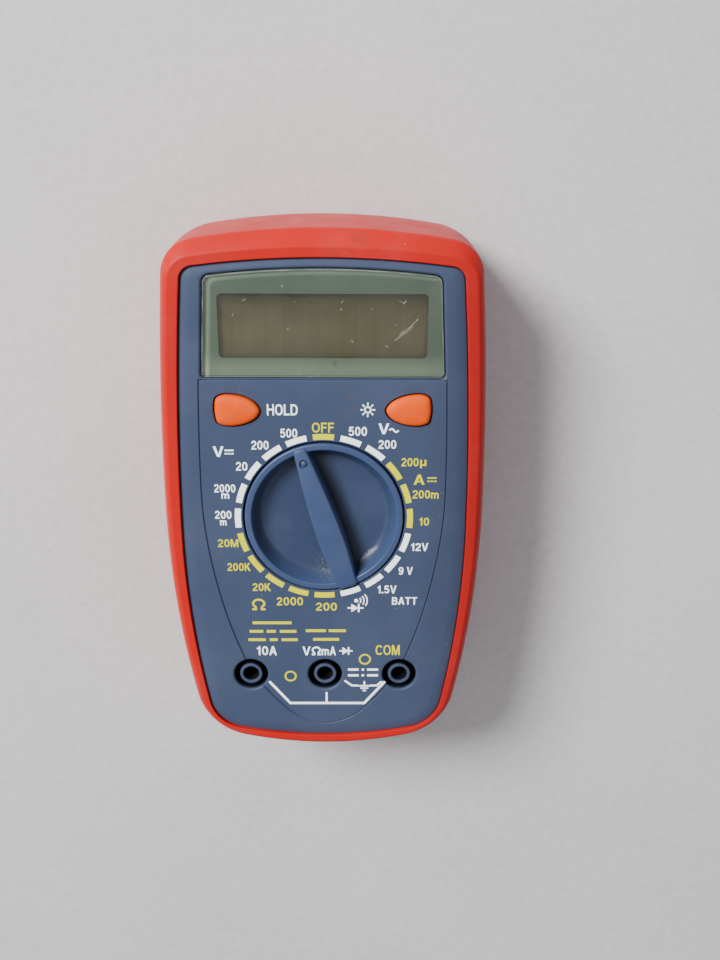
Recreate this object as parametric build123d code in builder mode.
from build123d import *
from math import sqrt, radians, sin, cos, pi
import os

os.makedirs("parts", exist_ok=True)

# Pocket digital multimeter in a soft boot, lying on its back.
# +Z comes out of the display face, +Y runs to the display end, +X is to the right of a person reading it.
# The origin is the centre of the bounding box's underside, on the back of the boot. All sizes are in millimetres.

# ---------------------------------------------------------------- driving dimensions
DIAL_Y = -1.65            # the dial's axis on the row's Y; every y below is counted from the dial's axis
# the long side curves: the y at which the body is widest, then the radii above and below it
OUTER_SIDE = (2.0, 750.0, 265.0)
LIP_SIDE = (-3.0, 717.0, 256.0)          # the boot's front opening and the panel inside it
Z_BACK = 0.0              # back of the boot
Z_REAR = 1.6              # back face of the rear shell
Z_FLOOR = 3.6             # inside of the rear shell's floor
Z_PART = 16.0             # parting plane of the two shells
Z_PCB0, Z_PCB1 = 22.4, 24.0
Z_CEIL = 29.4             # underside of the front panel
Z_LEDGE = 30.9            # the front shell's edge, under the boot's lip
Z_PANEL = 32.0            # face of the front panel
Z_RIM = 32.3              # front of the boot's lip
WALL = 2.0

# each outline is half width, top y, bottom y, top corner radius, bottom corner radius, top arc radius, bottom arc radius
BOOT_OUTER = [
    (Z_BACK, 35.7, 66.1, -63.0, 10.0, 14.0, 165, 91),
    (1.1, 36.9, 67.5, -64.2, 10.6, 15.0, 165, 91),
    (4.5, 38.4, 69.0, -65.7, 11.0, 16.0, 165, 91),
    (15.0, 39.2, 69.9, -66.6, 11.0, 16.8, 165, 91),
    (29.4, 38.75, 69.0, -66.1, 8.5, 16.3, 170, 93),
    (31.3, 38.0, 66.8, -65.1, 7.2, 15.2, 190, 94),
    (Z_RIM, 36.9, 65.2, -63.75, 5.8, 14.0, 205, 95),
]
BOOT_FRONT_OPENING = (34.62, 62.8, -61.98, 3.3, 9.9, 225, 108, LIP_SIDE)
BOOT_REAR_WINDOW = (32.0, 62.3, -59.3, 7.0, 12.5, 180, 91)
SHELL = {
    Z_REAR: (33.8, 64.2, -61.1, 9.0, 13.5, 165, 91),
    4.5: (36.0, 66.6, -63.3, 9.5, 15.0, 165, 91),
    Z_PART: (36.9, 67.5, -64.3, 9.5, 15.5, 165, 91),
    Z_LEDGE: (36.4, 65.4, -63.4, 7.0, 14.0, 190, 93),
}
BOOT_CLEAR = 0.1
PANEL_STEPS = [          # the crowned border of the front panel: z, inset from the boot's front opening, corner radii
    (Z_LEDGE - 0.4, 0.25, 3.2, 9.7),
    (31.45, 0.25, 3.2, 9.7),
    (31.76, 1.3, 2.8, 8.9),
    (31.92, 2.9, 2.0, 7.5),
    (Z_PANEL, 4.9, 1.2, 6.1),
]

DIAL_R = 19.35            # visible disc
DIAL_HOLE_R = 19.65
DIAL_FLANGE_R = 22.4
DIAL_RING_IN = 17.6       # inner edge of the flat ring
DIAL_FLOOR_R = 14.9
Z_DIAL_RING = 32.4
Z_DIAL_FLOOR = 28.2
Z_DIAL_UNDER = 26.6
Z_BAR = 34.1
BAR_ANGLE = 18.0          # the pointer rests one step to the left of OFF
DETENTS = 20

SOCKET_PITCH = 19.05
SOCKET_Y = -43.85
SOCKET_BORE_R = 2.0
SOCKET_R = 2.4
WELL_R = 4.35
POST_R = 2.9
Z_WELL = 25.2
Z_POST = 31.6

KEY_TRAVEL = 0.9
Z_KEY = 33.1
KEY_X, KEY_Y = 20.2, 27.5

LENS = dict(bottom_y=35.1, bottom_hw=28.3, top_y=60.4, top_hw=27.0, shoulder_y=58.7)
WINDOW = (48.0, 14.9, 47.25)    # clear window: width, height, centre y

BAY_X = 27.6              # battery bay, half width
BAY_Y0, BAY_Y1 = 23.9, 53.7
DOOR = (27.4, 17.5, 53.5)       # half width, lower y, upper y
DOOR_SCREW_Y = 20.4
CASE_SCREWS = [(-22.0, -50.5), (22.0, -50.5)]
PCB_SCREWS = [(-29.5, 14.0), (29.5, 14.0), (-27.5, -20.0), (27.5, -20.0)]


def y(v):
    """A height counted from the dial's axis, on the row's Y."""
    return v + DIAL_Y


def cross(c1, r1, c2, r2, pick):
    """Where two circles meet, taking the point that pick prefers."""
    dx, dy = c2[0] - c1[0], c2[1] - c1[1]
    d = sqrt(dx * dx + dy * dy)
    a = (r1 * r1 - r2 * r2 + d * d) / (2 * d)
    h = sqrt(r1 * r1 - a * a)
    px, py = c1[0] + a * dx / d, c1[1] + a * dy / d
    return max([(px + h * dy / d, py - h * dx / d), (px - h * dy / d, py + h * dx / d)], key=pick)


def on_arc(c, r, p, q):
    """The point of an arc half way between p and q."""
    mx, my = (p[0] + q[0]) / 2 - c[0], (p[1] + q[1]) / 2 - c[1]
    m = sqrt(mx * mx + my * my)
    return (c[0] + r * mx / m, c[1] + r * my / m)


def outline(z, hw, top, bottom, r_top, r_bottom, arc_top, arc_bottom, side=OUTER_SIDE):
    """The body's outline at one height: long side arcs, a bowed top and bottom, and rounded corners."""
    mid, r_up, r_low = side
    up, low = (hw - r_up, mid), (hw - r_low, mid)
    ct, cb = (0, top - arc_top), (0, bottom + arc_bottom)
    pt = cross(up, r_up, ct, arc_top, lambda p: p[0] + p[1])
    pb = cross(low, r_low, cb, arc_bottom, lambda p: p[0] - p[1])
    mu, ml = on_arc(up, r_up, pt, (hw, mid)), on_arc(low, r_low, (hw, mid), pb)

    def at(p, s=1):
        return (s * p[0], y(p[1]))

    with BuildSketch(Plane.XY.offset(z)) as made:
        with BuildLine():
            ThreePointArc(at(pt, -1), (0, y(top)), at(pt))
            ThreePointArc(at(pt), at(mu), at((hw, mid)))
            ThreePointArc(at((hw, mid)), at(ml), at(pb))
            ThreePointArc(at(pb), (0, y(bottom)), at(pb, -1))
            ThreePointArc(at(pb, -1), at(ml, -1), at((hw, mid), -1))
            ThreePointArc(at((hw, mid), -1), at(mu, -1), at(pt, -1))
        make_face()
        fillet(made.vertices().group_by(Axis.Y)[-1], r_top)
        fillet(made.vertices().group_by(Axis.Y)[0], r_bottom)
    return made.sketch


def grow(o, d):
    """An outline moved out by d."""
    return (o[0] + d, o[1] + d, o[2] - d, max(0.6, o[3] + d), max(0.6, o[4] + d), o[5], o[6])


def save(piece, label):
    piece.label = label
    export_step(piece, f"parts/{label}.step")


def key_outline(z, side, d=0.0):
    """A key's teardrop outline, its tip towards the middle. side is -1 on the left; d moves the edge out."""
    def at(px, py):
        return (-side * px, y(py))

    a, t, b = (-24.75, 31.25), (-14.6, 27.55), (-24.3, 24.1)
    with BuildSketch(Plane.XY.offset(z)) as made:
        with BuildLine():
            ThreePointArc(at(*a), at(-19.0, 30.55), at(*t))
            ThreePointArc(at(*t), at(-18.9, 24.5), at(*b))
            ThreePointArc(at(*b), at(-25.25, 27.7), at(*a))
        make_face()
        corners = made.vertices()
        fillet(corners.sort_by(lambda v: (v.X - at(*a)[0]) ** 2 + (v.Y - at(*a)[1]) ** 2)[0], 1.5)
        fillet(made.vertices().sort_by(lambda v: (v.X - at(*b)[0]) ** 2 + (v.Y - at(*b)[1]) ** 2)[0], 2.0)
        fillet(made.vertices().sort_by(lambda v: (v.X - at(*t)[0]) ** 2 + (v.Y - at(*t)[1]) ** 2)[0], 1.3)
        if d:
            offset(amount=d)
    return made.sketch


def lens_outline(z, d=0.0):
    """The display lens: bowed at the top, a little wider at the bottom."""
    hb, ht, yb, ys, yt = LENS["bottom_hw"], LENS["top_hw"], LENS["bottom_y"], LENS["shoulder_y"], LENS["top_y"]
    with BuildSketch(Plane.XY.offset(z)) as made:
        with BuildLine():
            Line((-hb, y(yb)), (hb, y(yb)))
            Line((hb, y(yb)), (ht, y(ys)))
            ThreePointArc((ht, y(ys)), (0, y(yt)), (-ht, y(ys)))
            Line((-ht, y(ys)), (-hb, y(yb)))
        make_face()
        fillet(made.vertices().group_by(Axis.Y)[-1], 2.0)
        fillet(made.vertices().group_by(Axis.Y)[0], 0.9)
        if d:
            offset(amount=d)
    return made.sketch


# ---------------------------------------------------------------- the boot
with BuildPart() as boot:
    for low, high in zip(BOOT_OUTER, BOOT_OUTER[1:]):
        loft([outline(*low).face(), outline(*high).face()], ruled=True)
    levels = sorted(SHELL)
    for low, high in zip(levels, levels[1:]):
        a, b = grow(SHELL[low], BOOT_CLEAR), grow(SHELL[high], BOOT_CLEAR)
        za = low - BOOT_CLEAR if low == Z_REAR else low
        zb = high + BOOT_CLEAR if high == Z_LEDGE else high
        loft([outline(za, *a).face(), outline(zb, *b).face()], ruled=True, mode=Mode.SUBTRACT)
    extrude(outline(Z_LEDGE, *BOOT_FRONT_OPENING), amount=5, mode=Mode.SUBTRACT)
    extrude(outline(-1, *BOOT_REAR_WINDOW), amount=4, mode=Mode.SUBTRACT)
save(boot.part, "protective_boot")

# ---------------------------------------------------------------- front shell
ring = BOOT_FRONT_OPENING
with BuildPart() as front:
    loft([outline(Z_PART, *SHELL[Z_PART]).face(), outline(Z_LEDGE, *SHELL[Z_LEDGE]).face()], ruled=True)
    for low, high in zip(PANEL_STEPS, PANEL_STEPS[1:]):
        pair = []
        for z, inset, rt, rb in (low, high):
            pair.append(outline(z, ring[0] - inset, ring[1] - inset * 0.72, ring[2] + inset * 0.8, rt, rb, *ring[5:]).face())
        loft(pair, ruled=True)
    # the hollow under the panel
    loft([outline(Z_PART, *grow(SHELL[Z_PART], -WALL)).face(), outline(Z_CEIL, *grow(SHELL[Z_LEDGE], -WALL)).face()], ruled=True, mode=Mode.SUBTRACT)
    # bosses, dial collar, detent ring and socket wells hang from the panel
    with BuildSketch(Plane.XY.offset(Z_PART)):
        with Locations(*[(px, y(py)) for px, py in CASE_SCREWS]):
            Circle(3.2)
    extrude(until=Until.NEXT)
    with BuildSketch(Plane.XY.offset(Z_PCB1)):
        with Locations(*[(px, y(py)) for px, py in PCB_SCREWS]):
            Circle(2.2)
    extrude(until=Until.NEXT)
    with BuildSketch(Plane.XY.offset(27.9)):
        with Locations((0, y(0))):
            Circle(21.2)
            Circle(DIAL_HOLE_R, mode=Mode.SUBTRACT)
    extrude(amount=Z_CEIL - 27.9)
    with BuildSketch(Plane.XY.offset(25.2)):
        with Locations((0, y(0))):
            Circle(25.4)
            Circle(23.6, mode=Mode.SUBTRACT)
            with PolarLocations(23.9, DETENTS, start_angle=90):
                Circle(1.1, mode=Mode.SUBTRACT)
    extrude(amount=Z_CEIL - 25.2)
    with BuildSketch(Plane.XY.offset(24.2)):
        with Locations(*[(i * SOCKET_PITCH, y(SOCKET_Y)) for i in (-1, 0, 1)]):
            Circle(5.5)
    extrude(amount=Z_CEIL - 24.2)
    # dial hole
    with BuildSketch(Plane.XY.offset(Z_CEIL - 0.5)):
        with Locations((0, y(0))):
            Circle(DIAL_HOLE_R)
    extrude(amount=6, mode=Mode.SUBTRACT)
    # socket wells, each round a post, and the socket's seat from below
    with BuildSketch(Plane.XY.offset(Z_WELL)):
        with Locations(*[(i * SOCKET_PITCH, y(SOCKET_Y)) for i in (-1, 0, 1)]):
            Circle(WELL_R)
            Circle(POST_R, mode=Mode.SUBTRACT)
    extrude(amount=8, mode=Mode.SUBTRACT)
    with BuildSketch(Plane.XY.offset(Z_POST)):
        with Locations(*[(i * SOCKET_PITCH, y(SOCKET_Y)) for i in (-1, 0, 1)]):
            Circle(POST_R + 0.2)
    extrude(amount=8, mode=Mode.SUBTRACT)
    with BuildSketch(Plane.XY.offset(23)):
        with Locations(*[(i * SOCKET_PITCH, y(SOCKET_Y)) for i in (-1, 0, 1)]):
            Circle(SOCKET_BORE_R)
    extrude(amount=9, mode=Mode.SUBTRACT)
    with BuildSketch(Plane.XY.offset(23)):
        with Locations(*[(i * SOCKET_PITCH, y(SOCKET_Y)) for i in (-1, 0, 1)]):
            Circle(SOCKET_R + 0.05)
    extrude(amount=28.4 - 23, mode=Mode.SUBTRACT)
    # display recess, its window, the key holes and the screw holes
    extrude(lens_outline(30.3), amount=3, mode=Mode.SUBTRACT)
    with BuildSketch(Plane.XY.offset(28)):
        with Locations((0, y(47.4))):
            RectangleRounded(51.4, 19.8, 1.2)
    extrude(amount=4, mode=Mode.SUBTRACT)
    for side in (-1, 1):
        extrude(key_outline(28, side, 0.28), amount=6, mode=Mode.SUBTRACT)
    with BuildSketch(Plane.XY.offset(Z_PART)):
        with Locations(*[(px, y(py)) for px, py in CASE_SCREWS]):
            Circle(1.25)
    extrude(amount=11, mode=Mode.SUBTRACT)
    with BuildSketch(Plane.XY.offset(Z_PCB1)):
        with Locations(*[(px, y(py)) for px, py in PCB_SCREWS]):
            Circle(0.9)
    extrude(amount=4.6, mode=Mode.SUBTRACT)
    # the groove round the dial's island
    for side in (-1, 1):
        with BuildSketch(Plane.XY.offset(Z_PANEL - 0.45)):
            with BuildLine() as path:
                Spline([(side * px, y(py)) for px, py in [(28.7, 34.5), (29.0, 27), (29.25, 18), (29.3, 9), (28.75, -3), (27.0, -15.5), (24.1, -27.5), (21.3, -36.5), (20.1, -39.8)]])
            trace(path.line, line_width=0.42)
        extrude(amount=2, mode=Mode.SUBTRACT)
    with BuildSketch(Plane.XY.offset(Z_PANEL - 0.45)):
        with BuildLine() as path:
            Spline([(px, y(py)) for px, py in [(-16.9, -45.6), (-12.3, -51.4), (-6.6, -56.6), (0, -58.5), (6.6, -56.6), (12.3, -51.4), (16.9, -45.6)]])
        trace(path.line, line_width=0.42)
        with Locations((0, y(34.5))):
            Rectangle(57.8, 0.42)
    extrude(amount=2, mode=Mode.SUBTRACT)
save(front.part, "front_shell")

# ---------------------------------------------------------------- rear shell
with BuildPart() as rear:
    loft([outline(Z_REAR, *SHELL[Z_REAR]).face(), outline(4.5, *SHELL[4.5]).face()], ruled=True)
    loft([outline(4.5, *SHELL[4.5]).face(), outline(Z_PART, *SHELL[Z_PART]).face()], ruled=True)
    loft([outline(Z_FLOOR, *grow(SHELL[4.5], -2.6)).face(), outline(Z_PART, *grow(SHELL[Z_PART], -WALL)).face()], ruled=True, mode=Mode.SUBTRACT)
    # tongue that locates the front shell
    extrude(outline(Z_PART - 2.5, *grow(SHELL[Z_PART], -2.25)), amount=4.0)
    extrude(outline(Z_PART - 2.5, *grow(SHELL[Z_PART], -3.25)), amount=4.0, mode=Mode.SUBTRACT)
    with BuildSketch(Plane.XY.offset(Z_FLOOR)):
        with Locations(*[(px, y(py)) for px, py in CASE_SCREWS]):
            Circle(4.2)
    extrude(amount=Z_PART - Z_FLOOR - 0.1)
    # battery bay: a wall round it, and the screw boss of the door
    with BuildSketch(Plane.XY.offset(Z_FLOOR)):
        with Locations((0, y((BAY_Y0 + BAY_Y1) / 2))):
            Rectangle(2 * BAY_X + 2.6, BAY_Y1 - BAY_Y0 + 2.6)
            Rectangle(2 * BAY_X, BAY_Y1 - BAY_Y0, mode=Mode.SUBTRACT)
    extrude(amount=14.0)
    with BuildSketch(Plane.XY.offset(Z_FLOOR)):
        with Locations((0, y(DOOR_SCREW_Y))):
            Circle(3.0)
    extrude(amount=10.4)
    # door opening, with a rebate for its two locating tongues
    with BuildSketch(Plane.XY.offset(Z_REAR - 1)):
        with Locations((0, y((DOOR[1] + DOOR[2]) / 2))):
            RectangleRounded(2 * DOOR[0] + 0.4, DOOR[2] - DOOR[1] + 0.4, 1.7)
        with Locations((-15, y(DOOR[2])), (15, y(DOOR[2]))):
            Rectangle(6.4, 4.0)
    extrude(amount=Z_FLOOR - Z_REAR + 1, mode=Mode.SUBTRACT)
    # notch for the battery leads in the bay's lower wall
    with BuildSketch(Plane.XY.offset(11.0)):
        with Locations((23.0, y(BAY_Y0 - 0.65))):
            Rectangle(6.0, 2.4)
    extrude(amount=8, mode=Mode.SUBTRACT)
    with BuildSketch(Plane.XY.offset(Z_REAR - 1)):
        with Locations(*[(px, y(py)) for px, py in CASE_SCREWS]):
            Circle(3.0)
    extrude(amount=6.0 - Z_REAR + 1, mode=Mode.SUBTRACT)
    with BuildSketch(Plane.XY.offset(Z_REAR - 1)):
        with Locations(*[(px, y(py)) for px, py in CASE_SCREWS]):
            Circle(1.6)
    extrude(amount=20, mode=Mode.SUBTRACT)
    with BuildSketch(Plane.XY.offset(Z_FLOOR - 0.5)):
        with Locations((0, y(DOOR_SCREW_Y))):
            Circle(1.25)
    extrude(amount=10, mode=Mode.SUBTRACT)
save(rear.part, "rear_shell")

# ---------------------------------------------------------------- battery door, its screw and foam pad
with BuildPart() as door:
    with BuildSketch(Plane.XY.offset(Z_REAR)):
        with Locations((0, y((DOOR[1] + DOOR[2]) / 2))):
            RectangleRounded(2 * DOOR[0], DOOR[2] - DOOR[1], 1.5)
        with Locations((-15, y(DOOR[2])), (15, y(DOOR[2]))):
            Rectangle(6.0, 3.6)
    extrude(amount=Z_FLOOR - Z_REAR - 0.1)
    # finger ribs
    with BuildSketch(Plane.XY.offset(Z_REAR)):
        with GridLocations(0, 2.4, 1, 5):
            with Locations((0, y(29.0))):
                SlotOverall(24, 1.1)
    extrude(amount=0.5, mode=Mode.SUBTRACT)
    with BuildSketch(Plane.XY.offset(Z_REAR)):
        with Locations((0, y(DOOR_SCREW_Y))):
            Circle(2.6)
    extrude(amount=1.2, mode=Mode.SUBTRACT)
    with BuildSketch(Plane.XY.offset(Z_REAR)):
        with Locations((0, y(DOOR_SCREW_Y))):
            Circle(1.35)
    extrude(amount=4, mode=Mode.SUBTRACT)
save(door.part, "battery_door")

with BuildPart() as pad:
    with BuildSketch(Plane.XY.offset(Z_FLOOR - 0.1)):
        with Locations((0, y(37.8))):
            RectangleRounded(40, 20, 1.0)
    extrude(amount=0.85)
save(pad.part, "battery_foam_pad")


def screw(at, z_head, head_r, head_h, shank_r, length, down=True):
    """A pan-head self-tapping screw driven towards +Z from z_head, with a cross recess."""
    with BuildPart() as s:
        with BuildSketch(Plane.XY.offset(z_head)):
            with Locations((at[0], y(at[1]))):
                Circle(head_r)
        extrude(amount=head_h)
        fillet(s.edges().group_by(Axis.Z)[0], head_h * 0.35)
        with BuildSketch(Plane.XY.offset(z_head + head_h)):
            with Locations((at[0], y(at[1]))):
                Circle(shank_r)
        extrude(amount=length)
        chamfer(s.edges().group_by(Axis.Z)[-1], shank_r * 0.6)
        with BuildSketch(Plane.XY.offset(z_head)):
            with Locations((at[0], y(at[1]))):
                Rectangle(head_r * 1.25, head_r * 0.28)
                Rectangle(head_r * 0.28, head_r * 1.25)
        extrude(amount=head_h * 0.55, mode=Mode.SUBTRACT)
    return s.part


save(screw((0, DOOR_SCREW_Y), 1.75, 2.4, 1.05, 1.2, 9.6), "battery_door_screw")
save(Compound(children=[screw(p, 4.2, 2.7, 1.8, 1.2, 17.5) for p in CASE_SCREWS]), "case_screws")
save(Compound(children=[screw(p, Z_PCB0 - 1.3, 1.8, 1.3, 0.85, 5.6) for p in PCB_SCREWS]), "board_screws")

# ---------------------------------------------------------------- display
with BuildPart() as lens:
    extrude(lens_outline(30.4, -0.12), amount=1.5)
    chamfer(lens.edges().group_by(Axis.Z)[-1], 0.3)
save(lens.part, "display_lens")

with BuildPart() as tape:
    extrude(lens_outline(30.3, -0.5), amount=0.1)
    with BuildSketch(Plane.XY.offset(30)):
        with Locations((0, y(47.4))):
            RectangleRounded(51.8, 20.2, 1.2)
    extrude(amount=1, mode=Mode.SUBTRACT)
save(tape.part, "lens_tape")

with BuildPart() as glass:
    with BuildSketch(Plane.XY.offset(26.65)):
        with Locations((0, y(47.5))):
            Rectangle(54.0, 22.0)
    extrude(amount=1.25)
    with BuildSketch(Plane.XY.offset(27.9)):
        with Locations((0, y(48.5))):
            Rectangle(54.0, 20.0)
    extrude(amount=1.25)
save(glass.part, "lcd_glass")

with BuildPart() as bezel:
    with BuildSketch(Plane.XY.offset(Z_PCB1)):
        with Locations((0, y(47.5))):
            RectangleRounded(58.0, 25.6, 1.0)
    extrude(amount=5.3)
    with BuildSketch(Plane.XY.offset(26.6)):
        with Locations((0, y(47.5))):
            Rectangle(54.2, 22.2)
    extrude(amount=4, mode=Mode.SUBTRACT)
    with BuildSketch(Plane.XY.offset(Z_PCB1)):
        with Locations((0, y(49.3))):
            Rectangle(51.0, 16.6)
        with Locations((0, y(38.2))):
            Rectangle(50.6, 2.2)
    extrude(amount=4, mode=Mode.SUBTRACT)
save(bezel.part, "lcd_frame")

with BuildPart() as zebra:
    with BuildSketch(Plane.XY.offset(Z_PCB1)):
        with Locations((0, y(38.2))):
            Rectangle(50.0, 1.8)
    extrude(amount=2.65)
save(zebra.part, "zebra_connector")

with BuildPart() as light:
    with BuildSketch(Plane.XY.offset(24.2)):
        with Locations((0, y(49.3))):
            Rectangle(50.6, 16.2)
        with Locations((-24.4, y(49.3)), (24.4, y(49.3))):
            Rectangle(2.2, 3.6, mode=Mode.SUBTRACT)
    extrude(amount=2.3)
save(light.part, "backlight_diffuser")

with BuildPart() as leds:
    with BuildSketch(Plane.XY.offset(Z_PCB1)):
        with Locations((-24.4, y(49.3)), (24.4, y(49.3))):
            Rectangle(1.6, 3.0)
    extrude(amount=1.4)
save(leds.part, "backlight_leds")

# ---------------------------------------------------------------- circuit board and the selector's tracks
with BuildPart() as board:
    extrude(outline(Z_PCB0, 33.4, 61.6, -60.0, 6.0, 12.5, 180, 92), amount=Z_PCB1 - Z_PCB0)
    with BuildSketch(Plane.XY.offset(Z_PCB0)):
        with Locations(*[(px, y(py)) for px, py in CASE_SCREWS]):
            Circle(3.6)
        with Locations(*[(px, y(py)) for px, py in PCB_SCREWS]):
            Circle(1.1)
        with Locations(*[(i * SOCKET_PITCH, y(SOCKET_Y)) for i in (-1, 0, 1)]):
            Circle(SOCKET_R + 0.1)
        with Locations((0, y(0))):
            Circle(2.48)
    extrude(amount=3, mode=Mode.SUBTRACT)
save(board.part, "circuit_board")

with BuildPart() as tracks:
    with BuildSketch(Plane.XY.offset(Z_PCB1)):
        with Locations((0, y(0))):
            Circle(7.8)
            Circle(6.2, mode=Mode.SUBTRACT)
        with Locations((0, y(0))):
            Circle(11.0)
            Circle(9.6, mode=Mode.SUBTRACT)
        with Locations((0, y(0))):
            with PolarLocations(14.0, DETENTS, start_angle=90):
                SlotOverall(2.4, 1.3)
    extrude(amount=0.09)
save(tracks.part, "selector_tracks")

# ---------------------------------------------------------------- selector dial
BAR_X = (cos(radians(BAR_ANGLE)), sin(radians(BAR_ANGLE)), 0)       # across the bar
BAR_Y = (-sin(radians(BAR_ANGLE)), cos(radians(BAR_ANGLE)), 0)      # along it, towards the pointer


def disc(z, r):
    """A round face on the dial's axis."""
    with BuildSketch(Plane.XY.offset(z)) as made:
        with Locations((0, y(0))):
            Circle(r)
    return made.sketch.face()


def bar_outline(z, g):
    """The grip bar from above: widest below the middle, narrower at the pointer. g moves the edge out."""
    with BuildSketch(Plane(origin=(0, y(0), z), x_dir=BAR_X, z_dir=(0, 0, 1))) as made:
        with BuildLine():
            Line((-1.75 - g, 18.2 + g), (1.75 + g, 18.2 + g))
            ThreePointArc((1.75 + g, 18.2 + g), (3.15 + g, -1.5), (2.45 + g, -18.5 - g))
            Line((2.45 + g, -18.5 - g), (-2.45 - g, -18.5 - g))
            ThreePointArc((-2.45 - g, -18.5 - g), (-3.15 - g, -1.5), (-1.75 - g, 18.2 + g))
        make_face()
    return made.sketch.face()


with BuildPart() as bar:
    loft([bar_outline(Z_DIAL_FLOOR - 0.6, 0.35), bar_outline(Z_BAR, 0.0)], ruled=True)
    # the top is crowned: highest in the middle, down to the ring at both ends
    with BuildSketch(Plane(origin=(0, y(0), 0), x_dir=BAR_Y, z_dir=BAR_X)):
        with BuildLine():
            ThreePointArc((-19.5, Z_DIAL_RING - 0.1), (-2.0, Z_BAR), (19.5, Z_DIAL_RING - 0.1))
            Polyline((19.5, Z_DIAL_RING - 0.1), (19.5, Z_BAR + 3), (-19.5, Z_BAR + 3), (-19.5, Z_DIAL_RING - 0.1))
        make_face()
    extrude(amount=6, both=True, mode=Mode.SUBTRACT)

with BuildPart() as dial:
    with BuildSketch(Plane.XY.offset(24.7)):
        with Locations((0, y(0))):
            Circle(DIAL_FLANGE_R)
            Circle(16.2, mode=Mode.SUBTRACT)
    extrude(amount=27.8 - 24.7)
    with BuildSketch(Plane.XY.offset(Z_DIAL_UNDER)):
        with Locations((0, y(0))):
            Circle(DIAL_R)
    extrude(amount=Z_DIAL_RING - Z_DIAL_UNDER)
    fillet(dial.edges().group_by(Axis.Z)[-1], 0.4)
    # the two finger dishes: one round bowl, with the bar put back across it
    loft([disc(Z_DIAL_FLOOR, DIAL_FLOOR_R), disc(Z_DIAL_RING + 0.02, DIAL_RING_IN)], ruled=True, mode=Mode.SUBTRACT)
    add(bar.part)
    # pointer dimple
    with BuildSketch(Plane(origin=(0, y(0), Z_DIAL_RING - 0.1), x_dir=BAR_X, z_dir=(0, 0, 1))):
        with Locations((0, 15.2)):
            Circle(1.1)
    extrude(amount=3, mode=Mode.SUBTRACT)
    # pivot, and a pocket each side for a detent ball and its spring
    with BuildSketch(Plane.XY.offset(22.9)):
        with Locations((0, y(0))):
            Circle(2.4)
    extrude(amount=Z_DIAL_UNDER - 22.9)
    for side in (-1, 1):
        with BuildSketch(Plane(origin=(side * 17.0, y(0), 26.25), x_dir=(0, 1, 0), z_dir=(side, 0, 0))):
            Circle(1.52)
        extrude(amount=8, mode=Mode.SUBTRACT)
save(dial.part, "selector_dial")

with BuildPart() as balls:
    with Locations((-22.0, y(0), 26.25), (22.0, y(0), 26.25)):
        Sphere(1.48)
save(balls.part, "detent_balls")

springs = []
for side in (-1, 1):
    with BuildPart() as spring:
        with BuildLine() as coil:
            Helix(pitch=0.78, height=3.1, radius=1.15, center=(side * 17.2, y(0), 26.25), direction=(side, 0, 0))
        with BuildSketch(Plane(origin=coil.line @ 0, z_dir=coil.line % 0)):
            Circle(0.16)
        sweep(is_frenet=True)
    springs.append(spring.part)
save(Compound(children=springs), "detent_springs")

strips = []
for turn in (0, 120, 240):
    a = radians(turn + BAR_ANGLE)
    with BuildPart() as strip:
        with BuildSketch(Plane(origin=(0.7 * sin(a), y(0) - 0.7 * cos(a), 0), x_dir=(cos(a), sin(a), 0), z_dir=(sin(a), -cos(a), 0))):
            with BuildLine():
                Polyline((5.9, 24.9), (7.0, 24.14), (8.1, 24.9), (9.3, 26.38), (11.8, 26.38), (12.9, 24.9), (14.0, 24.14), (15.1, 24.9), (15.1, 25.2), (14.0, 24.4), (13.1, 25.1), (11.95, 26.58), (9.15, 26.58), (7.95, 25.1), (7.0, 24.4), (5.9, 25.2), close=True)
            make_face()
        extrude(amount=-1.4)
    strips.append(strip.part)
save(Compound(children=strips), "dial_contacts")

# ---------------------------------------------------------------- keys and their switches
for side, name in ((-1, "hold"), (1, "backlight")):
    with BuildPart() as key:
        extrude(key_outline(28.5, side, 0.0), amount=Z_KEY - 28.5)
        fillet(key.edges().group_by(Axis.Z)[-1], 0.7)
        extrude(key_outline(28.5, side, 0.95), amount=0.8)
        with BuildSketch(Plane.XY.offset(27.7)):
            with Locations((side * KEY_X, y(KEY_Y))):
                Circle(1.5)
        extrude(amount=0.8)
    save(key.part, f"{name}_key")
    with BuildPart() as plunger:
        with BuildSketch(Plane.XY.offset(26.2)):
            with Locations((side * KEY_X, y(KEY_Y))):
                Circle(1.55)
        extrude(amount=1.5)
    save(plunger.part, f"{name}_switch_plunger")
    with BuildPart() as body:
        with BuildSketch(Plane.XY.offset(Z_PCB1)):
            with Locations((side * KEY_X, y(KEY_Y))):
                RectangleRounded(6.2, 6.2, 0.5)
        extrude(amount=2.75)
        with BuildSketch(Plane.XY.offset(25.1)):
            with Locations((side * KEY_X, y(KEY_Y))):
                Circle(1.7)
        extrude(amount=4, mode=Mode.SUBTRACT)
    save(body.part, f"{name}_switch_body")

# ---------------------------------------------------------------- input sockets
for i, name in ((-1, "ten_amp"), (0, "volt_ohm"), (1, "common")):
    with BuildPart() as socket:
        with BuildSketch(Plane.XY.offset(13.0)):
            with Locations((i * SOCKET_PITCH, y(SOCKET_Y))):
                Circle(SOCKET_R)
        extrude(amount=28.4 - 13.0)
        with BuildSketch(Plane.XY.offset(21.5)):
            with Locations((i * SOCKET_PITCH, y(SOCKET_Y))):
                Circle(3.4)
        extrude(amount=Z_PCB0 - 21.5)
        with BuildSketch(Plane.XY.offset(12)):
            with Locations((i * SOCKET_PITCH, y(SOCKET_Y))):
                Circle(SOCKET_BORE_R)
        extrude(amount=20, mode=Mode.SUBTRACT)
    save(socket.part, f"{name}_socket")

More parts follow.
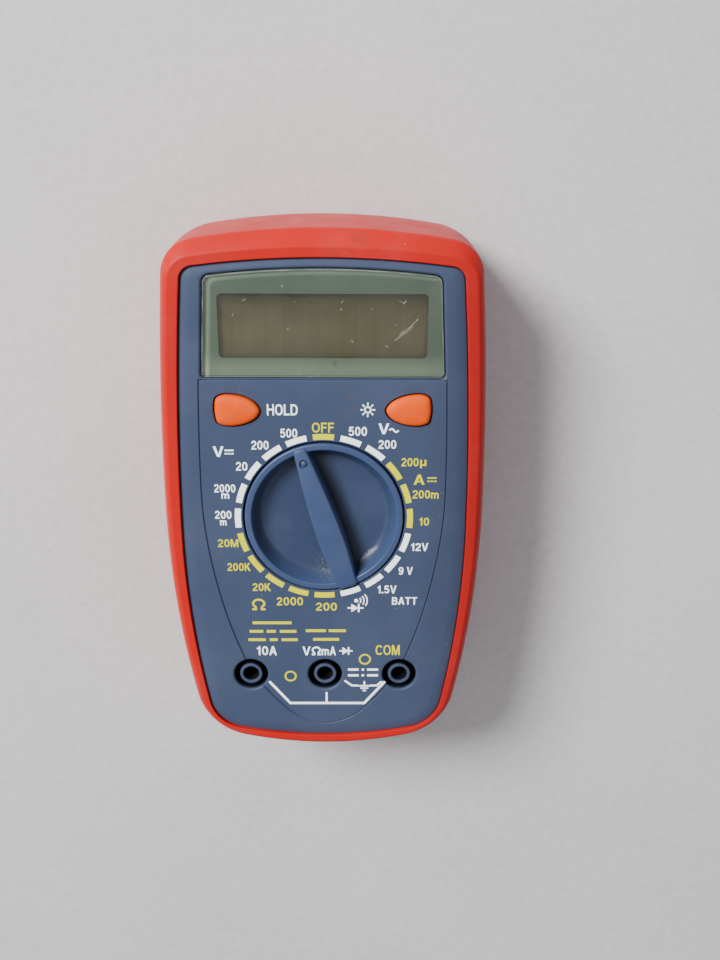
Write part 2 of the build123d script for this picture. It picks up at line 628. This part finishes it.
# ---------------------------------------------------------------- battery, its snap and leads
BX0, BX1, BY, BZ0 = -27.0, 19.4, 38.6, 4.5
with BuildPart() as battery:
    with Locations(((BX0 + BX1) / 2, y(BY), BZ0 + 8.7)):
        Box(BX1 - BX0, 26.2, 17.4)
    fillet(battery.edges().filter_by(Axis.X), 2.0)
save(battery.part, "battery")

TERMINALS = [(BY - 6.35), (BY + 6.35)]
with BuildPart() as poles:
    with BuildSketch(Plane.YZ.offset(BX1)):
        with Locations((y(TERMINALS[0]), BZ0 + 8.7)):
            Circle(2.8)
        with Locations((y(TERMINALS[1]), BZ0 + 8.7)):
            Circle(3.9)
            Circle(3.1, mode=Mode.SUBTRACT)
    extrude(amount=2.3)
save(poles.part, "battery_terminals")

with BuildPart() as snap:
    with BuildSketch(Plane.YZ.offset(BX1 + 0.3)):
        with Locations((y(BY), BZ0 + 8.7)):
            RectangleRounded(24.0, 12.4, 2.5)
    extrude(amount=4.0)
    with BuildSketch(Plane.YZ.offset(BX1 + 0.2)):
        with Locations((y(TERMINALS[0]), BZ0 + 8.7), (y(TERMINALS[1]), BZ0 + 8.7)):
            Circle(4.1)
    extrude(amount=2.7, mode=Mode.SUBTRACT)
save(snap.part, "battery_snap")

with BuildPart() as clips:
    with BuildSketch(Plane.YZ.offset(BX1 + 0.5)):
        with Locations((y(TERMINALS[0]), BZ0 + 8.7)):
            Circle(3.7)
            Circle(2.9, mode=Mode.SUBTRACT)
        with Locations((y(TERMINALS[1]), BZ0 + 8.7)):
            Circle(2.9)
    extrude(amount=2.4)
save(clips.part, "snap_contacts")

for name, lx, lz, ly in (("red", 21.0, 15.4, 13.5), ("black", 22.9, 12.6, 10.5)):
    points = [(lx, y(BY - 12.0), lz), (lx, y(19.0), lz), (lx, y(ly), lz + 1.0), (lx, y(ly), Z_PCB0)]
    with BuildPart() as lead:
        with BuildLine() as run:
            FilletPolyline(*points, radius=3.0)
        with BuildSketch(Plane(origin=run.line @ 0, z_dir=run.line % 0)):
            Circle(0.6)
        sweep()
    print(name, "lead: length along its line", round(sum(e.length for e in run.edges()), 1), "mm, volume over section", round(lead.part.volume / (pi * 0.36), 1))
    save(lead.part, f"battery_lead_{name}")

# ---------------------------------------------------------------- parts soldered to the back of the board
FX, FY, FZ = 1.0, -28.5, 18.4
with BuildPart() as tube:
    with BuildSketch(Plane.YZ.offset(FX - 7.4)):
        with Locations((y(FY), FZ)):
            Circle(2.3)
            Circle(1.8, mode=Mode.SUBTRACT)
    extrude(amount=14.8)
save(tube.part, "fuse_tube")

with BuildPart() as caps:
    for x0 in (FX - 10.0, FX + 4.6):
        with BuildSketch(Plane.YZ.offset(x0)):
            with Locations((y(FY), FZ)):
                Circle(2.6)
        extrude(amount=5.4)
    with BuildSketch(Plane.YZ.offset(FX - 7.4)):
        with Locations((y(FY), FZ)):
            Circle(2.31)
    extrude(amount=14.8, mode=Mode.SUBTRACT)
save(caps.part, "fuse_caps")

with BuildPart() as wire:
    with BuildSketch(Plane.YZ.offset(FX - 7.4)):
        with Locations((y(FY), FZ)):
            Circle(0.12)
    extrude(amount=14.8)
save(wire.part, "fuse_element")

with BuildPart() as holders:
    for cx in (FX - 8.0, FX + 8.0):
        with BuildSketch(Plane.YZ.offset(cx - 1.6)):
            with Locations((y(FY), FZ)):
                Circle(3.05)
                Circle(2.65, mode=Mode.SUBTRACT)
                with Locations((0, -3.2)):
                    Rectangle(3.6, 3.4, mode=Mode.SUBTRACT)
            with Locations((y(FY), FZ + 3.4)):
                Rectangle(2.6, 1.2)
        extrude(amount=3.2)
save(holders.part, "fuse_clips")

with BuildPart() as shunt:
    with BuildLine() as run:
        FilletPolyline((-25.0, y(-32.5), Z_PCB0), (-25.0, y(-32.5), 15.2), (-12.0, y(-32.5), 15.2), (-12.0, y(-32.5), Z_PCB0), radius=3.0)
    with BuildSketch(Plane(origin=run.line @ 0, z_dir=run.line % 0)):
        Circle(0.8)
    sweep()
save(shunt.part, "current_shunt")

with BuildPart() as buzzer:
    with BuildSketch(Plane.XY.offset(17.2)):
        with Locations((18.5, y(-8.0))):
            Circle(7.0)
    extrude(amount=Z_PCB0 - 17.2)
    fillet(buzzer.edges().group_by(Axis.Z)[0], 0.5)
    with BuildSketch(Plane.XY.offset(18.2)):
        with Locations((18.5, y(-8.0))):
            Circle(6.2)
    extrude(amount=3.2, mode=Mode.SUBTRACT)
    with BuildSketch(Plane.XY.offset(17)):
        with Locations((18.5, y(-8.0))):
            Circle(1.0)
    extrude(amount=2, mode=Mode.SUBTRACT)
save(buzzer.part, "buzzer_housing")

with BuildPart() as piezo:
    with BuildSketch(Plane.XY.offset(19.4)):
        with Locations((18.5, y(-8.0))):
            Circle(6.1)
    extrude(amount=0.35)
save(piezo.part, "buzzer_disc")

with BuildPart() as capacitor:
    with BuildSketch(Plane.XY.offset(13.4)):
        with Locations((-24.5, y(3.0)), (-18.0, y(5.0))):
            Circle(2.5)
    extrude(amount=Z_PCB0 - 13.4)
    fillet(capacitor.edges().group_by(Axis.Z)[0], 0.5)
save(capacitor.part, "capacitors")

with BuildPart() as trimmer:
    with Locations((-10.0, y(-14.0), Z_PCB0 - 2.2)):
        Box(6.8, 6.8, 4.4)
    with BuildSketch(Plane.XY.offset(Z_PCB0 - 4.4)):
        with Locations((-10.0, y(-14.0))):
            Circle(2.5)
            Circle(2.1, mode=Mode.SUBTRACT)
    extrude(amount=0.8, mode=Mode.SUBTRACT)
    with BuildSketch(Plane.XY.offset(Z_PCB0 - 4.4)):
        with Locations((-10.0, y(-14.0))):
            Rectangle(3.4, 0.7)
    extrude(amount=0.8, mode=Mode.SUBTRACT)
save(trimmer.part, "calibration_trimmer")

with BuildPart() as ptc:
    with BuildSketch(Plane.XZ.offset(-y(-19.5))):
        with Locations((6.0, Z_PCB0 - 5.0)):
            Circle(3.8)
    extrude(amount=2.6)
    with BuildSketch(Plane.XY.offset(Z_PCB0 - 4.0)):
        with Locations((4.0, y(-20.8)), (8.0, y(-20.8))):
            Circle(0.35)
    extrude(amount=4.0)
save(ptc.part, "overload_thermistor")

with BuildPart() as blob:
    with BuildSketch(Plane.XY.offset(Z_PCB0)):
        with Locations((0, y(8.0))):
            Circle(6.0)
    extrude(amount=-1.6)
    fillet(blob.edges().group_by(Axis.Z)[0], 1.4)
save(blob.part, "converter_chip")

rods = []
for px, py in ((-6.0, -4.5), (-1.5, -4.5), (3.0, -4.5), (7.5, -4.5), (-14.0, -4.5), (12.5, 6.0), (17.0, 6.0), (-22.0, -10.0), (-18.0, -10.0)):
    with BuildPart() as rod:
        with BuildSketch(Plane.XZ.offset(-y(py) - 2.3)):
            with Locations((px, Z_PCB0 - 1.15)):
                Circle(1.1)
        extrude(amount=4.6)
    rods.append(rod.part)
save(Compound(children=rods), "resistors")

cans = []
for px, py in ((13.0, -19.5), (19.5, -22.5)):
    with BuildPart() as can:
        with BuildSketch(Plane.XY.offset(Z_PCB0 - 6.6)):
            with Locations((px, y(py))):
                Circle(2.3)
                with Locations((0, -2.3)):
                    Rectangle(6, 2.4, mode=Mode.SUBTRACT)
        extrude(amount=4.6)
        with BuildSketch(Plane.XY.offset(Z_PCB0 - 2.0)):
            with Locations((px - 1.27, y(py)), (px, y(py)), (px + 1.27, y(py))):
                Rectangle(0.45, 0.45)
        extrude(amount=2.0)
    cans.append(can.part)
save(Compound(children=cans), "transistors")
